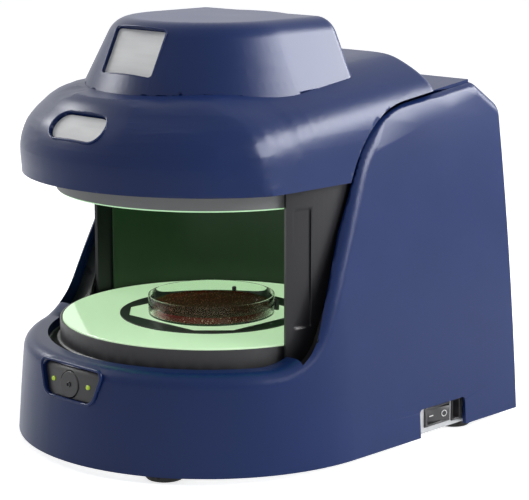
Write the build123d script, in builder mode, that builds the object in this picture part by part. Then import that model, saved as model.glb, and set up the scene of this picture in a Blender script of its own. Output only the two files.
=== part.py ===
"""Colony counter: a bench instrument that lights a culture dish on a glowing stage and
photographs it from above, inside a chamber closed by two curved sliding doors.

Origin: bottom centre of the bounding box. +Z is up, -Y is the front, +X the switch side.
The chamber is round, so most pieces are turned about one vertical axis at Y = chamber_y.
"""
import os
from math import asin, cos, degrees, radians, sin, tan

from build123d import *

os.makedirs("parts", exist_ok=True)

# ------------------------------------------------------------------ driving dimensions (mm)
foot_height = 5.0           # feet under the housing
foot_radius = 13.0
seat = 0.3                  # gap between a piece and the piece that carries it
wall = 3.0                  # moulded housings

# housing: round in front, straight sides, side walls leaning in on one long arc
drum_radius = 138.0         # at the bottom edge
rear_reach = 178.0          # chamber axis to the rear face
crown_radius = 111.5        # side wall at crown_height
crown_height = 247.0
side_bulge = 2.5            # how far the side arc stands outside its chord
rim_top = 73.0              # rounded rim of the base
rim_round = 10.0
front_foot = -33.5          # where the leaning front edge would meet the rim
front_lean = 24.3           # degrees from vertical
foot_round = 38.0
crest_round = 76.0
crest_y = 77.0              # a point on the rising top edge
crest_z = 235.5
crest_rise = 6.7            # degrees
rear_slope_run = 21.0       # slope at the top rear corner
rear_slope_drop = 15.0
throat_lip = 3.0            # how far the edges return inwards, past the wall
band_low = 217.0            # crease of the planar band under the top edge, at crest_y
band_lean = 17.0            # degrees from vertical

# chamber, from the middle outwards
disc_radius = 105.6
disc_top = 84.5
disc_thickness = 3.0
mask_radius = 65.1
mask_thickness = 0.8
window_half_x = 52.0
window_half_y = 49.0
window_corner = 19.0
dish_radius = 45.0
dish_height = 13.7
dish_wall = 1.2
agar_depth = 4.5
pin_radius = 1.6
pin_height = 8.5
pin_angles = (-159.2, 115.0, 53.1)
stage_radius = 107.5
flange_radius = 110.0
flange_top = 70.0
flange_height = 8.0
inner_wall_thickness = 1.6
inner_wall_half_angle = 92.0    # from the front to the edge of the fixed rear wall
door_gap = 0.6                  # radial gap on each side of a door
door_thickness = 2.7
door_span = 92.0                # degrees
door_left_open = 84.5           # leading edge at rest, degrees from the front
door_right_open = 71.5
door_bottom = 64.3
grip_depth = 1.2
grip_start = 3.0                # degrees behind the leading edge
grip_span = 7.0
grip_bottom = 96.0
grip_top = 176.0
track_height = 5.0
track_lip = 2.4
lamp_radius = 108.0
lamp_bottom = 177.2
lamp_wall = 3.2
ceiling_bottom = 191.0
ceiling_thickness = 4.0

# hood over the chamber
hood_bottom = 189.7
hood_side = 118.3
hood_shoulder = 117.0
dome_foot = 131.7
hood_round = 2.5
hood_rear = 116.0
hood_fall = 5.15            # degrees, the hood's top falls towards the front
hood_top = 267.0
hood_rear_round = 8.0
hood_gap = 3.0              # open seam between the hood and the housing

# turret that holds the camera
turret_base_radius = 92.0
turret_base_height = 240.9
turret_edge_radius = 65.1
turret_top = 295.0
turret_round = 18.0
turret_rear = 58.0
turret_rear_round = 9.0

chamber_y = (drum_radius - rear_reach) / 2
housing_floor = foot_height
clear_height = 400.0

chamber_axis = Axis((0, chamber_y, 0), (0, 0, 1))
section = Plane(origin=(0, chamber_y, 0), x_dir=(1, 0, 0), z_dir=(0, -1, 0))
side = Plane(origin=(0, chamber_y, 0), x_dir=(0, 1, 0), z_dir=(1, 0, 0))


def level(height):
    """Horizontal plane centred on the chamber axis."""
    return Plane(origin=(0, chamber_y, height))


def leaning(height, reach, lean):
    """Plane square to the front skin, `reach` in front of the chamber axis."""
    tilt = radians(lean)
    return Plane(origin=(0, chamber_y - reach, height), x_dir=(1, 0, 0), z_dir=(0, -cos(tilt), sin(tilt)))


def polar(radius, angle):
    """Point on a circle about the chamber axis, angle in degrees from the front towards +X."""
    return (radius * sin(radians(angle)), -radius * cos(radians(angle)))


def save(piece, name):
    piece.part.label = name
    export_step(piece.part, f"parts/{name}.step")


# ------------------------------------------------------------------ housing volumes
def side_wall_line(inset, floor):
    """Half outline of the housing's cross-section, closed along the chamber axis."""
    middle_x = (drum_radius + crown_radius) / 2 + side_bulge - inset
    middle_z = (foot_height + crown_height) / 2
    base = Line((0, floor), (drum_radius - inset, floor))
    skin = ThreePointArc(base @ 1, (middle_x, middle_z), (crown_radius - inset, crown_height))
    Polyline(skin @ 1, (0, crown_height), (0, floor))


def front_edge(shift):
    """Corner points of the leaning front edge and the rising top edge, moved out by shift."""
    lean = tan(radians(front_lean))
    rise = tan(radians(crest_rise))
    foot_y = front_foot - shift / cos(radians(front_lean))
    line_z = crest_z + shift / cos(radians(crest_rise))
    corner_z = (line_z + (foot_y - rim_top * lean - crest_y) * rise) / (1 - lean * rise)
    corner_y = foot_y + (corner_z - rim_top) * lean
    top_y = rear_reach - rear_slope_run + shift / 3
    top_z = corner_z + (top_y - corner_y) * rise
    return (foot_y, rim_top + shift), (corner_y, corner_z), (top_y, top_z)


def edge_line(shift, reach=2.0):
    """The whole edge, from far in front to far behind."""
    foot, corner, top = front_edge(shift)
    tail = (top[0] + reach * rear_slope_run, top[1] - reach * rear_slope_drop)
    rounds = (foot_round, crest_round - shift, rim_round)
    return FilletPolyline((-2 * drum_radius, foot[1]), foot, corner, top, tail, radius=rounds)


def wall_block(inset, floor):
    """Housing volume before its edge is cut."""
    with BuildPart() as block:
        with BuildSketch(section):
            with BuildLine():
                side_wall_line(inset, floor)
            make_face()
            mirror(about=Plane.YZ)
        extrude(amount=inset - rear_reach)
        with BuildSketch(section):
            with BuildLine():
                side_wall_line(inset, floor)
            make_face()
        revolve(axis=chamber_axis)
    return block.part


def band_cutter(inset, hand):
    """Half-space outside the planar band under the top edge of one side wall."""
    rise = Vector(0, cos(radians(crest_rise)), sin(radians(crest_rise)))
    up = Vector(-hand * sin(radians(band_lean)), 0, cos(radians(band_lean)))
    outward = rise.cross(up) * hand
    middle_z = (foot_height + crown_height) / 2
    share = (band_low - middle_z) / (crown_height - middle_z)
    chord = (drum_radius + crown_radius) / 2
    skin = chord + (crown_radius - chord) * share + side_bulge * (1 - share**2)
    origin = Vector(hand * (skin - inset), chamber_y + crest_y, band_low)
    plane = Plane(origin=origin, x_dir=rise, z_dir=outward)
    with BuildPart() as cutter:
        with BuildSketch(plane):
            Rectangle(4 * rear_reach, 2 * crown_height)
        extrude(amount=drum_radius)
    return cutter.part


def housing_block(inset, floor, edge_round):
    """Whole housing volume, `inset` inside the outer skin."""
    bands = [band_cutter(inset, hand) for hand in (-1, 1)]
    with BuildPart() as block:
        add(wall_block(inset, floor))
        with BuildSketch(side):
            with BuildLine():
                edge = edge_line(-inset)
                Polyline(edge @ 1, (2 * rear_reach, clear_height), (-2 * drum_radius, clear_height), edge @ 0)
            make_face()
        extrude(amount=2 * drum_radius, both=True, mode=Mode.SUBTRACT)
        rim = block.edges().filter_by(lambda e: e.geom_type != GeomType.LINE)
        rim = rim.filter_by(lambda e: e.bounding_box().min.Z > rim_top - wall - 1)
        fillet(rim, edge_round)
        for band in bands:
            add(band, mode=Mode.SUBTRACT)
    return block.part



# ------------------------------------------------------------------ radii that fit round the stage
door_inner = flange_radius + door_gap
door_outer = door_inner + door_thickness
track_inner = door_outer + seat
track_outer = track_inner + track_lip
drum_opening = track_outer + seat
track_floor = door_bottom - seat
track_base = track_floor - 2.0
stage_skirt = 104.0
stage_wall = 3.0
plate_thickness = 2.0
plate_top = foot_height + plate_thickness

outer_block = housing_block(0, housing_floor, rim_round)
inner_block = housing_block(wall, housing_floor - 1, rim_round - wall)

# ------------------------------------------------------------------ control panel outline
panel_height = 58.8         # centre of the panel
panel_reach = 132.6
panel_lean = 8.0
panel_top_half = 30.5
panel_bottom_half = 22.0
panel_rise = 22.0
panel_corner = 5.0
panel_lip = 1.3
panel_lip_proud = 0.8
fascia_thickness = 2.4
fascia_margin = 3.0
button_radius = 9.0
button_gap = 0.35
button_height = -1.5        # below the panel's centre
button_depth = 6.0
button_travel = 1.2
button_proud = 0.5
led_radius = 1.6
led_offset = 17.5
led_height = -0.5
panel_plane = leaning(panel_height, panel_reach, panel_lean)


def panel_prism(margin, depth=12.0):
    """Rounded trapezium, wider at the top, run through the front skin."""
    top = panel_rise / 2 + margin
    with BuildPart() as prism:
        with BuildSketch(panel_plane):
            with BuildLine():
                FilletPolyline(
                    (-panel_top_half - margin, top),
                    (panel_top_half + margin, top),
                    (panel_bottom_half + margin, -top),
                    (-panel_bottom_half - margin, -top),
                    close=True,
                    radius=panel_corner + margin,
                )
            make_face()
        extrude(amount=depth, both=True)
    return prism.part


# ------------------------------------------------------------------ switch recess in the right wall
notch_front = 69.0
notch_rear = 119.0
notch_top = 25.0
notch_corner = 3.0
bracket_x = 131.4           # outer face of the sheet behind the recess
bracket_thickness = 1.5


def notch_prism(grow=0.0):
    """Recess that is open at the bottom edge of the right wall."""
    with BuildPart() as prism:
        with BuildSketch(side.offset(drum_radius - 2 * wall - 6)):
            with BuildLine():
                FilletPolyline(
                    (notch_front - grow, 0),
                    (notch_front - grow, notch_top + grow),
                    (notch_rear + grow, notch_top + grow),
                    (notch_rear + grow, 0),
                    radius=notch_corner,
                )
                Line((notch_rear + grow, 0), (notch_front - grow, 0))
            make_face()
        extrude(amount=4 * wall + 12)
    return prism.part


# ------------------------------------------------------------------ body shell
boss_radius = 4.2
boss_hole = 1.6
boss_top = 34.0
boss_rib = 2.0
boss_reach = 28.0
boss_circle = 121.5
boss_places = [(*polar(boss_circle, turn), turn - 90) for turn in (42, 90, -42, -90)]
boss_places += [(112.0, 160.0, 0), (-112.0, 160.0, 180)]
vent_count = 9
vent_pitch = 8.0
vent_width = 3.5
vent_length = 70.0
vent_height = 160.0
throat_start = -38.0
deck_rear = rear_reach - rear_slope_run - 2.0
opening_chamfer = 2.2

lip_block = housing_block(-panel_lip_proud, housing_floor, rim_round + panel_lip_proud)
panel_lip_ring = (lip_block - inner_block) & (panel_prism(panel_lip) - panel_prism(0))

with BuildPart() as throat:
    add(wall_block(wall + throat_lip, rim_top - wall - 1))
    with BuildSketch(level(0)):
        with Locations((0, (throat_start + deck_rear) / 2)):
            Rectangle(2 * drum_radius, deck_rear - throat_start)
    extrude(amount=clear_height, mode=Mode.INTERSECT)

with BuildPart() as boss_posts:
    for x, y, turn in boss_places:
        spot = Location((x, y), turn)
        with BuildSketch(level(plate_top)):
            with Locations(spot):
                Circle(boss_radius)
                with Locations((boss_reach / 2, 0)):
                    Rectangle(boss_reach, boss_rib)
        extrude(amount=boss_top - plate_top)
    with BuildSketch(level(plate_top)):
        with Locations(*[(x, y) for x, y, turn in boss_places]):
            Circle(boss_hole)
    extrude(amount=boss_top - plate_top - 4, mode=Mode.SUBTRACT)

with BuildPart() as body_shell:
    add(outer_block)
    add(inner_block, mode=Mode.SUBTRACT)
    add(throat.part, mode=Mode.SUBTRACT)
    with BuildSketch(level(track_base)):
        Circle(drum_opening + 2.4)
    extrude(amount=rim_top - wall - track_base + 1)
    with BuildSketch(level(0)):
        Circle(drum_opening)
    extrude(amount=clear_height, mode=Mode.SUBTRACT)
    add(boss_posts.part & outer_block)
    add(panel_lip_ring)
    add(panel_prism(0), mode=Mode.SUBTRACT)
    add(notch_prism(), mode=Mode.SUBTRACT)
    with BuildSketch(Plane(origin=(0, chamber_y + rear_reach - 2 * wall, vent_height), x_dir=(1, 0, 0), z_dir=(0, 1, 0))):
        with GridLocations(0, vent_pitch, 1, vent_count):
            SlotOverall(vent_length, vent_width)
    extrude(amount=3 * wall, mode=Mode.SUBTRACT)
save(body_shell, "body_shell")


# ------------------------------------------------------------------ base plate, feet and screws
foot_places = [(62.0, -104.0), (-62.0, -104.0), (118.0, 128.0), (-118.0, 128.0)]
screw_head_radius = 3.6
screw_head_height = 1.8
screw_grip = 16.0
floor_vent_pitch = 9.0
floor_vent_length = 60.0
floor_vent_width = 4.0

with BuildPart() as base_plate:
    add(wall_block(wall + seat, foot_height))
    with BuildSketch(level(foot_height)):
        Rectangle(4 * drum_radius, 4 * rear_reach)
        with Locations((bracket_x + drum_radius / 2, (notch_front + notch_rear) / 2)):
            Rectangle(drum_radius, notch_rear - notch_front + 2 * notch_corner, mode=Mode.SUBTRACT)
        with Locations(*[(x, y) for x, y, turn in boss_places]):
            Circle(boss_hole + 0.3, mode=Mode.SUBTRACT)
        with GridLocations(0, floor_vent_pitch, 1, 7):
            SlotOverall(floor_vent_length, floor_vent_width, mode=Mode.SUBTRACT)
    extrude(amount=plate_thickness, mode=Mode.INTERSECT)
save(base_plate, "base_plate")

with BuildPart() as feet:
    with BuildSketch(level(0)):
        with Locations(*foot_places):
            Circle(foot_radius)
    extrude(amount=foot_height)
    chamfer(feet.edges().group_by(Axis.Z)[0], 1.0)
    with BuildSketch(level(0)):
        with Locations(*foot_places):
            Circle(foot_radius / 3)
    extrude(amount=foot_height / 2, mode=Mode.SUBTRACT)
save(feet, "feet")

with BuildPart() as base_screws:
    with BuildSketch(level(foot_height - screw_head_height)):
        with Locations(*[(x, y) for x, y, turn in boss_places]):
            Circle(screw_head_radius)
    extrude(amount=screw_head_height)
    chamfer(base_screws.edges().group_by(Axis.Z)[0], 0.5)
    with BuildSketch(level(foot_height - screw_head_height)):
        with Locations(*[(x, y) for x, y, turn in boss_places]):
            Circle(boss_hole)
    extrude(amount=screw_grip)
save(base_screws, "base_screws")

# ------------------------------------------------------------------ stage
ledge_depth = 1.0
ledge_top = disc_top - disc_thickness - seat
board_radius = 100.7
board_level = 61.0
board_thickness = 1.6
stage_led = 3.5
stage_led_height = 1.9
stage_led_rings = ((20.0, 6), (45.0, 12), (70.0, 18), (92.0, 24))

with BuildPart() as stage_drum:
    with BuildSketch(section):
        with BuildLine():
            Polyline(
                (stage_skirt - stage_wall, plate_top),
                (stage_skirt, plate_top),
                (stage_skirt, track_base - 4),
                (track_outer, track_base - 4),
                (track_outer, track_base),
                (flange_radius, track_base),
                (flange_radius, flange_top - 1),
                (flange_radius - 1, flange_top),
                (stage_radius, flange_top),
                (stage_radius, disc_top - ledge_depth),
                (disc_radius + seat, disc_top - ledge_depth),
                (disc_radius + seat, ledge_top),
                (stage_skirt - stage_wall, ledge_top),
                (stage_skirt - stage_wall, board_level),
                (board_radius - 4, board_level),
                (board_radius - 4, board_level - 2),
                (stage_skirt - stage_wall, board_level - 6),
                close=True,
            )
        make_face()
    revolve(axis=chamber_axis)
save(stage_drum, "stage_drum")

with BuildPart() as door_track:
    with BuildSketch(section):
        with BuildLine():
            Polyline(
                (flange_radius + seat, track_base),
                (track_outer, track_base),
                (track_outer, track_base + track_height),
                (track_inner, track_base + track_height),
                (track_inner, track_floor),
                (flange_radius + seat, track_floor),
                close=True,
            )
        make_face()
    revolve(axis=chamber_axis)
save(door_track, "door_track")

with BuildPart() as stage_light_board:
    with BuildSketch(level(board_level)):
        Circle(board_radius)
        for turn in range(0, 360, 60):
            with Locations(polar(board_radius, turn)):
                Circle(3, mode=Mode.SUBTRACT)
    extrude(amount=board_thickness)
save(stage_light_board, "stage_light_board")

with BuildPart() as stage_leds:
    for ring, count in stage_led_rings:
        with BuildSketch(level(board_level + board_thickness)):
            with PolarLocations(ring, count):
                Rectangle(stage_led, stage_led)
        extrude(amount=stage_led_height)
save(stage_leds, "stage_leds")

with BuildPart() as diffuser_disc:
    with BuildSketch(level(disc_top - disc_thickness)):
        Circle(disc_radius)
    extrude(amount=disc_thickness)
    chamfer(diffuser_disc.edges().group_by(Axis.Z)[-1], 0.5)
save(diffuser_disc, "diffuser_disc")

with BuildPart() as mask_ring:
    with BuildSketch(level(disc_top)) as mask_outline:
        Circle(mask_radius)
        with BuildSketch(mode=Mode.PRIVATE) as window:
            Rectangle(2 * window_half_x, 2 * window_half_y)
            chamfer(window.vertices(), window_corner)
        add(window.sketch, mode=Mode.SUBTRACT)
    extrude(amount=mask_thickness)
save(mask_ring, "mask_ring")

with BuildPart() as dish_pins:
    with BuildSketch(level(disc_top)):
        for turn in pin_angles:
            reach = dish_radius + pin_radius + 0.6
            with Locations((reach * cos(radians(turn)), reach * sin(radians(turn)))):
                Circle(pin_radius)
    extrude(amount=pin_height)
    fillet(dish_pins.edges().group_by(Axis.Z)[-1], 0.8)
save(dish_pins, "dish_pins")

dish_base = disc_top + seat
with BuildPart() as petri_dish:
    with BuildSketch(section):
        with BuildLine():
            Polyline(
                (0, dish_base),
                (dish_radius, dish_base),
                (dish_radius, disc_top + dish_height),
                (dish_radius - dish_wall, disc_top + dish_height),
                (dish_radius - dish_wall, dish_base + dish_wall),
                (0, dish_base + dish_wall),
                close=True,
            )
        make_face()
    revolve(axis=chamber_axis)
    fillet(petri_dish.edges().group_by(Axis.Z)[0], 0.8)
save(petri_dish, "petri_dish")

with BuildPart() as agar:
    with BuildSketch(level(dish_base + dish_wall)):
        Circle(dish_radius - dish_wall)
    extrude(amount=agar_depth)
save(agar, "agar")


# ------------------------------------------------------------------ chamber wall, doors and liners
def radial(angle):
    """Upright plane through the chamber axis, local x outwards, local y up."""
    turn = radians(angle)
    return Plane(origin=(0, chamber_y, 0), x_dir=(sin(turn), -cos(turn), 0), z_dir=(-cos(turn), -sin(turn), 0))


def curved_sheet(inner, outer, bottom, top, start, span):
    """Sheet bent about the chamber axis."""
    with BuildPart() as sheet:
        with BuildSketch(radial(start)):
            with Locations(((inner + outer) / 2, (bottom + top) / 2)):
                Rectangle(outer - inner, top - bottom)
        revolve(axis=chamber_axis, revolution_arc=span)
    return sheet.part


wall_outer = flange_radius - 0.2
with BuildPart() as chamber_wall:
    add(
        curved_sheet(
            wall_outer - inner_wall_thickness,
            wall_outer,
            flange_top,
            ceiling_bottom,
            inner_wall_half_angle,
            360 - 2 * inner_wall_half_angle,
        )
    )
save(chamber_wall, "chamber_wall")

door_top = ceiling_bottom + ceiling_thickness / 2 + 0.2


def door(start, grip):
    """Door sheet with a grip groove near its leading edge."""
    with BuildPart() as sheet:
        add(curved_sheet(door_inner, door_outer, door_bottom, door_top, start, door_span))
        groove = curved_sheet(door_outer - grip_depth, door_outer + 1, grip_bottom, grip_top, grip, grip_span)
        add(groove, mode=Mode.SUBTRACT)
    return sheet


left_door = door(-door_left_open - door_span, -door_left_open - grip_start - grip_span)
save(left_door, "left_door")
right_door = door(door_right_open, door_right_open + grip_start)
save(right_door, "right_door")

liner_set_back = 8.5
liner_thickness = 2.5
liner_gap = 0.7
liner_bottom = rim_top - 1.7


def liner(hand):
    """Curved strip behind the leaning edge of one side wall."""
    with BuildPart() as strip:
        with BuildSketch(side):
            with BuildLine():
                front = edge_line(-liner_set_back)
                back = edge_line(-liner_set_back - liner_thickness)
                Line(front @ 0, back @ 0)
                Line(front @ 1, back @ 1)
            make_face()
        extrude(amount=hand * drum_radius)
        add(wall_block(wall + seat, foot_height), mode=Mode.INTERSECT)
        with BuildSketch(level(liner_bottom)):
            Rectangle(4 * drum_radius, 2 * rear_reach)
            Circle(door_outer + liner_gap, mode=Mode.SUBTRACT)
        extrude(amount=ceiling_bottom - 1 - liner_bottom, mode=Mode.INTERSECT)
    return strip


left_liner = liner(-1)
save(left_liner, "left_liner")
right_liner = liner(1)
save(right_liner, "right_liner")

# ------------------------------------------------------------------ lamp ring under the hood
lamp_ledge = 2.8
lamp_ledge_height = 2.0
lamp_inner = 92.0
led_count = 24
lamp_led = 5.0
lamp_led_height = 1.6

with BuildPart() as lamp_ring:
    with BuildSketch(section):
        with BuildLine():
            Polyline(
                (lamp_radius - lamp_wall, ceiling_bottom),
                (lamp_radius, ceiling_bottom),
                (lamp_radius, lamp_bottom),
                (lamp_radius - lamp_wall, lamp_bottom),
                (lamp_radius - lamp_wall - lamp_ledge, lamp_bottom + 0.8),
                (lamp_radius - lamp_wall - lamp_ledge, lamp_bottom + 0.8 + lamp_ledge_height),
                (lamp_radius - lamp_wall, lamp_bottom + 0.8 + lamp_ledge_height),
                close=True,
            )
        make_face()
    revolve(axis=chamber_axis)
save(lamp_ring, "lamp_ring")

diffuser_level = lamp_bottom + 0.8 + lamp_ledge_height
with BuildPart() as lamp_diffuser:
    with BuildSketch(level(diffuser_level)):
        Circle(lamp_radius - lamp_wall - seat)
        Circle(lamp_inner, mode=Mode.SUBTRACT)
    extrude(amount=2)
save(lamp_diffuser, "lamp_diffuser")

with BuildPart() as lamp_collar:
    with BuildSketch(section):
        with BuildLine():
            Polyline(
                (lamp_inner - 2.5, lamp_bottom + 0.8),
                (lamp_inner + 3, lamp_bottom + 0.8),
                (lamp_inner + 3, diffuser_level),
                (lamp_inner - seat, diffuser_level),
                (lamp_inner - seat, ceiling_bottom),
                (lamp_inner - 2.5, ceiling_bottom),
                close=True,
            )
        make_face()
    revolve(axis=chamber_axis)
save(lamp_collar, "lamp_collar")

with BuildPart() as lamp_board:
    with BuildSketch(level(ceiling_bottom - board_thickness)):
        Circle(lamp_radius - lamp_wall - seat)
        Circle(lamp_inner, mode=Mode.SUBTRACT)
    extrude(amount=board_thickness)
save(lamp_board, "lamp_board")

with BuildPart() as lamp_leds:
    with BuildSketch(level(ceiling_bottom - board_thickness - lamp_led_height)):
        with PolarLocations((lamp_radius + lamp_inner) / 2, led_count):
            Rectangle(lamp_led, lamp_led)
    extrude(amount=lamp_led_height)
save(lamp_leds, "lamp_leds")

# ------------------------------------------------------------------ ceiling
lens_hole = 26.0
ceiling_radius = door_outer + 1.3
ceiling_front = dome_foot - wall - seat
ceiling_side = hood_shoulder - wall - seat
ceiling_start = 10.0

with BuildPart() as hood_underside:
    with BuildSketch(level(ceiling_bottom)):
        Circle(ceiling_front)
        with Locations((0, ceiling_start - drum_radius)):
            Rectangle(2 * ceiling_side, 2 * drum_radius, mode=Mode.INTERSECT)
        Circle(ceiling_radius)
        Circle(lens_hole, mode=Mode.SUBTRACT)
    extrude(amount=ceiling_thickness)
    with BuildSketch(level(ceiling_bottom)):
        Circle(door_outer + seat)
        Circle(door_inner - seat, mode=Mode.SUBTRACT)
    extrude(amount=door_top + seat - ceiling_bottom, mode=Mode.SUBTRACT)
save(hood_underside, "hood_underside")
ceiling_top = ceiling_bottom + ceiling_thickness

# ------------------------------------------------------------------ hood
fall = Vector(0, -cos(radians(hood_fall)), -sin(radians(hood_fall)))
hood_line = (
    (hood_side, hood_bottom),
    (hood_shoulder, 218.0),
    (110.5, 243.0),
    (97.0, 254.5),
    (80.0, 262.5),
    (48.0, hood_top),
)
dome_line = (
    (dome_foot, hood_bottom),
    (132.5, 208.0),
    (130.0, 219.0),
    (124.0, 230.0),
    (115.0, 238.5),
    (107.5, 245.0),
    (97.0, 250.5),
    (50.0, 263.0),
)
skin_steps = 12
skin_depth = 60.0
camera_opening = 48.0


def skin_profile(points, inset):
    """Skin curve that starts upright and ends level, moved `inset` to its inside, closed to the axis."""
    outer = Spline(*points, tangents=((0, 1), (-1, 0)), mode=Mode.PRIVATE)
    moved = []
    for step in range(skin_steps + 1):
        along = outer % (step / skin_steps)
        moved.append(outer @ (step / skin_steps) + Vector(-along.Y, along.X) * inset)
    Spline(*moved, tangents=((0, 1), (-1, 0)))
    low = points[0][1] - skin_depth
    Polyline(moved[-1], (0, moved[-1].Y), (0, low), (moved[0].X, low), moved[0])


def hood_volume(inset, rear):
    """Solid under the hood's skin, `inset` inside it."""
    rear_plane = Plane(origin=(0, chamber_y + hood_rear - rear, 0), x_dir=(1, 0, 0), z_dir=(0, -1, 0))
    with BuildPart() as dome:
        with BuildSketch(section):
            with BuildLine():
                skin_profile(dome_line, inset)
            make_face()
        revolve(axis=chamber_axis)
        with BuildSketch(level(0)):
            with Locations((0, rear_reach)):
                Rectangle(4 * drum_radius, 2 * rear_reach)
        extrude(amount=clear_height)
    with BuildPart() as volume:
        with BuildSketch(rear_plane):
            with BuildLine():
                skin_profile(hood_line, inset)
            make_face()
            mirror(about=Plane.YZ)
        extrude(amount=3 * rear_reach, dir=fall)
        add(dome.part, mode=Mode.INTERSECT)
    return volume.part


def behind_edge(shift):
    """Everything below and behind the housing's edge, moved out by shift."""
    with BuildPart() as region:
        with BuildSketch(side):
            with BuildLine():
                edge = edge_line(shift)
                Polyline(edge @ 1, (2 * rear_reach, -drum_radius), (-2 * drum_radius, -drum_radius), edge @ 0)
            make_face()
        extrude(amount=2 * drum_radius, both=True)
    return region.part


# bare name plate pocket, sunk in the front of the hood
badge_plane = leaning(230.0, 121.5, 43.0)
badge_length = 52.0
badge_width = 22.0
badge_depth = 4.5
badge_thickness = 1.5
bucket_wall = 2.0

with BuildPart() as badge_pocket:
    with BuildSketch(badge_plane.offset(-badge_depth)):
        SlotOverall(badge_length, badge_width)
    extrude(amount=5 * badge_depth)

with BuildPart() as badge_bucket:
    with BuildSketch(badge_plane.offset(-badge_depth - bucket_wall)):
        SlotOverall(badge_length + 2 * bucket_wall, badge_width + 2 * bucket_wall)
    extrude(amount=3 * badge_depth)

hood_solid = hood_volume(0, 0)
hood_hollow = hood_volume(wall, wall + 2)
housing_clearance = behind_edge(hood_gap)

with BuildPart() as hood:
    add(hood_solid)
    with BuildSketch(level(0)):
        Rectangle(4 * drum_radius, 4 * rear_reach)
    extrude(amount=hood_bottom, both=True, mode=Mode.SUBTRACT)
    add(housing_clearance, mode=Mode.SUBTRACT)
    rear_arch = hood.faces().sort_by(Axis.Y)[-1].edges()
    fillet(rear_arch.filter_by(lambda e: e.bounding_box().max.Z > crown_height), hood_rear_round)
    add(hood_hollow, mode=Mode.SUBTRACT)
    with BuildSketch(level(hood_bottom)):
        Circle(camera_opening)
    extrude(amount=clear_height, mode=Mode.SUBTRACT)
    add(badge_bucket.part & hood_solid)
    add(badge_pocket.part, mode=Mode.SUBTRACT)
save(hood, "hood")

with BuildPart() as name_plate:
    with BuildSketch(badge_plane.offset(-badge_depth)):
        SlotOverall(badge_length - 2, badge_width - 2)
    extrude(amount=badge_thickness)
save(name_plate, "name_plate")

# ------------------------------------------------------------------ camera turret on the hood
recess_width = 49.0
recess_length = 34.0
recess_depth = 7.0
recess_corner = 3.0
recess_height = 276.5
plate_gap = 0.5
turret_lean = degrees(asin((turret_base_radius - turret_edge_radius) / ((turret_base_radius - turret_edge_radius) ** 2 + (turret_top - turret_base_height) ** 2) ** 0.5))
recess_reach = turret_base_radius - (recess_height - turret_base_height) * tan(radians(turret_lean))
recess_plane = leaning(recess_height, recess_reach, turret_lean)


def turret_volume(inset, rear):
    """Solid under the turret's skin, `inset` inside it."""
    slant = inset / cos(radians(turret_lean))
    base = turret_base_height - 20
    base_half = turret_base_radius + 20 * tan(radians(turret_lean)) - slant
    top_half = turret_edge_radius + inset * tan(radians(turret_lean)) - slant
    with BuildPart() as volume:
        with BuildSketch(section):
            with BuildLine():
                skin = FilletPolyline(
                    (base_half, base), (top_half, turret_top - inset), (0, turret_top - inset), radius=turret_round - inset
                )
                Polyline(skin @ 1, (0, base), skin @ 0)
            make_face()
            mirror(about=Plane.YZ)
        extrude(amount=rear - turret_rear)
        if not rear:
            fillet(volume.faces().sort_by(Axis.Y)[-1].edges().filter_by(lambda e: e.bounding_box().max.Z > base + 1), turret_rear_round)
        with BuildSketch(section):
            with BuildLine():
                skin = FilletPolyline(
                    (base_half, base), (top_half, turret_top - inset), (0, turret_top - inset), radius=turret_round - inset
                )
                Polyline(skin @ 1, (0, base), skin @ 0)
            make_face()
        revolve(axis=chamber_axis)
    return volume.part


turret_solid = turret_volume(0, 0)
turret_hollow = turret_volume(wall, wall + 2)
with BuildPart() as recess_bucket:
    with BuildSketch(recess_plane.offset(-recess_depth - bucket_wall)):
        RectangleRounded(recess_width + 2 * bucket_wall, recess_length + 2 * bucket_wall, recess_corner + bucket_wall)
    extrude(amount=3 * recess_depth)

with BuildPart() as recess_pocket:
    with BuildSketch(recess_plane.offset(-recess_depth)):
        RectangleRounded(recess_width, recess_length, recess_corner)
    extrude(amount=4 * recess_depth)

with BuildPart() as turret:
    add(turret_solid)
    add(turret_hollow, mode=Mode.SUBTRACT)
    add(recess_bucket.part & turret_solid)
    add(recess_pocket.part, mode=Mode.SUBTRACT)
    add(hood_solid, mode=Mode.SUBTRACT)
save(turret, "turret")

with BuildPart() as turret_plate:
    with BuildSketch(recess_plane.offset(-recess_depth)):
        RectangleRounded(recess_width - 2 * plate_gap, recess_length - 2 * plate_gap, recess_corner - plate_gap)
    extrude(amount=1.2)
save(turret_plate, "turret_plate")

# ------------------------------------------------------------------ camera
bracket_span = 64.0
bracket_depth = 40.0
bracket_top = 240.0
barrel_radius = 20.0
barrel_bottom = 202.0
lens_radius = 16.0
camera_size = 50.0
camera_height = 38.0

with BuildPart() as camera_bracket:
    with BuildSketch(section):
        with BuildLine():
            half = bracket_span / 2
            Polyline(
                (-half - 12, ceiling_top),
                (-half - 12, ceiling_top + 2),
                (-half - 2, ceiling_top + 2),
                (-half - 2, bracket_top),
                (half + 2, bracket_top),
                (half + 2, ceiling_top + 2),
                (half + 12, ceiling_top + 2),
                (half + 12, ceiling_top),
                (half, ceiling_top),
                (half, bracket_top - 2),
                (-half, bracket_top - 2),
                (-half, ceiling_top),
                close=True,
            )
        make_face()
    extrude(amount=bracket_depth / 2, both=True)
    with BuildSketch(level(bracket_top - 3)):
        Circle(barrel_radius / 2)
    extrude(amount=4, mode=Mode.SUBTRACT)
save(camera_bracket, "camera_bracket")

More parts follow.
